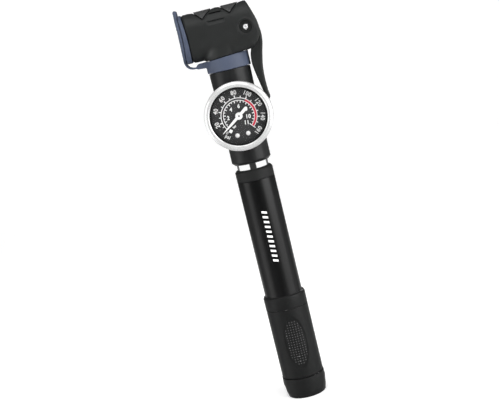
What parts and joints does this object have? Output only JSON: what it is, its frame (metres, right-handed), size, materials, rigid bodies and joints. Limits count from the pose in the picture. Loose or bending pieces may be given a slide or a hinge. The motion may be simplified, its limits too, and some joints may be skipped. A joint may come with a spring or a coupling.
{
  "type": "bicycle mini pump with pressure gauge",
  "caption": "Telescopic hand pump for bicycle tyres: lever-lock valve head with a rubber dust cap, round dial pressure gauge on the neck, bright inner tube, black barrel and grip.",
  "frame": {"origin": "centre of the flat end face of the handle", "axes": "+Z along the pump's axis from the handle to the head; the gauge's dial faces -Y; the valve mouth opens to -X and the lock lever lies on the +X side"},
  "size_m": [0.0485, 0.035, 0.2452],
  "materials": {
    "head_plastic": "fine-grained matt moulding",
    "housing_plastic": "satin moulding",
    "handle_plastic": "satin moulding with a dotted grip patch",
    "gland_plastic": "matt",
    "inner_plastic": "natural moulding",
    "anodised_barrel": "black anodised, semi-gloss",
    "polished_tube": "polished bright",
    "polished_bezel": "polished bright rim",
    "steel": "ground",
    "brass": "machined",
    "blue_grey_rubber": "soft matt rubber",
    "black_rubber": "matt",
    "gauge_case_paint": "satin black",
    "dial_face": "matt black print with white and red markings",
    "white_paint": "satin white",
    "lens": "clear polished"
  },
  "bodies": {
    "barrel_unit": {"barrel": "anodised_barrel", "barrel_gland": "gland_plastic", "gland_wiper": "black_rubber", "barrel_end_plug": "inner_plastic", "end_plug_oring": "black_rubber", "handle_collar": "handle_plastic", "handle_grip": "handle_plastic", "handle_end_cap": "handle_plastic"},
    "head_unit": {"head_shell": "head_plastic", "mouth_nut": "head_plastic", "valve_grommet": "black_rubber", "lever_pin": "steel", "cap_ring": "blue_grey_rubber", "gauge_housing": "housing_plastic", "housing_oring": "black_rubber", "inner_tube": "polished_tube", "tube_oring": "black_rubber", "piston_head": "inner_plastic", "piston_seal": "black_rubber", "stop_bumper": "black_rubber", "check_valve_seat": "brass", "check_valve_spring": "steel", "gauge_case": "gauge_case_paint", "gauge_bezel": "polished_bezel", "gauge_lens": "lens", "lens_gasket": "black_rubber", "dial_plate": "dial_face", "dial_screw_left": "white_paint", "dial_screw_right": "white_paint", "needle_stop": "white_paint", "gauge_socket": "brass", "socket_oring": "black_rubber", "bourdon_tube": "brass", "movement_frame": "brass", "hairspring": "steel"},
    "lever": {"lock_lever": "head_plastic"},
    "plunger": {"plunger": "inner_plastic", "plunger_oring": "black_rubber"},
    "dust_cap": {"dust_cap": "blue_grey_rubber"},
    "check_valve": {"check_valve_poppet": "black_rubber"},
    "sector": {"sector_gear": "brass"},
    "needle": {"needle": "white_paint", "pinion": "brass"},
    "link": {"link_rod": "steel"}
  },
  "joints": [
    {"name": "pump_stroke", "type": "slide", "parent": "barrel_unit", "child": "head_unit", "axis": [0, 0, 1], "range_m": [0, 0.102]},
    {"name": "lever_pivot", "type": "hinge", "parent": "head_unit", "child": "lever", "pos_m": [0.0156, 0, 0.227], "axis": [0, -1, 0], "range_deg": [0, 95]},
    {"name": "plunger_slide", "type": "slide", "parent": "head_unit", "child": "plunger", "axis": [-1, 0, 0], "range_m": [0, 0.0022]},
    {"name": "cap_hinge", "type": "hinge", "parent": "head_unit", "child": "dust_cap", "pos_m": [-0.022, 0, 0.2113], "axis": [0, -1, 0], "range_deg": [0, 110], "stiffness_Nm_per_rad": 0.0015, "springref_deg": -17.19},
    {"name": "check_valve_lift", "type": "slide", "parent": "head_unit", "child": "check_valve", "axis": [0, 0, 1], "range_m": [0, 0.0012], "stiffness_N_per_m": 60, "springref_m": -0.001, "deforming": ["check_valve_spring"]},
    {"name": "sector_turn", "type": "hinge", "parent": "head_unit", "child": "sector", "pos_m": [0.00713, 0, 0.17251], "axis": [0, -1, 0], "range_deg": [0, 42.24], "stiffness_Nm_per_rad": 0.00004, "springref_deg": -5.73},
    {"name": "needle_turn", "type": "hinge", "parent": "head_unit", "child": "needle", "pos_m": [0, 0, 0.1775], "axis": [0, 1, 0], "range_deg": [0, 264]},
    {"name": "link_slide", "type": "slide", "parent": "head_unit", "child": "link", "axis": [0.5736, 0, 0.8192], "range_m": [0, 0.00166]}
  ],
  "couplings": [
    {"joint": "plunger_slide", "follows": "lever_pivot", "m_per_rad": 0.0013268},
    {"joint": "sector_turn", "follows": "link_slide", "rad_per_m": 445.45},
    {"joint": "needle_turn", "follows": "link_slide", "rad_per_m": 2784.1}
  ]
}
